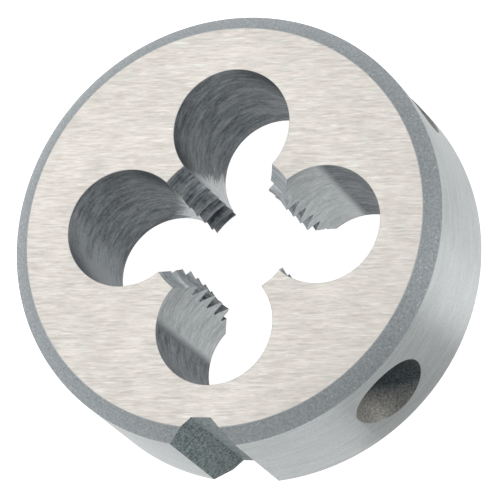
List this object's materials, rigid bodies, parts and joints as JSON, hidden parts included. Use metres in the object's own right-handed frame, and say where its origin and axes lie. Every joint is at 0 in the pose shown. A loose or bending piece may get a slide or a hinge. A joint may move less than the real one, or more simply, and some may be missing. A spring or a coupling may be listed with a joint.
{
  "type": "threading die",
  "caption": "Round steel die with a toothed threaded bore, chip clearance holes opening into it, a driving notch and conical dimples in the chamfered rim.",
  "frame": {"origin": "on the thread axis, in the plane of the back face that the die rests on", "axes": "+Z along the thread axis towards the front face, +X through a clearance hole, and the driving notch near -Y"},
  "size_m": [0.025, 0.0249, 0.009],
  "materials": {
    "tool_steel": "ground and brushed faces, fine blasted chamfers"
  },
  "bodies": {
    "root": {"threading_die": "tool_steel"}
  },
  "joints": []
}
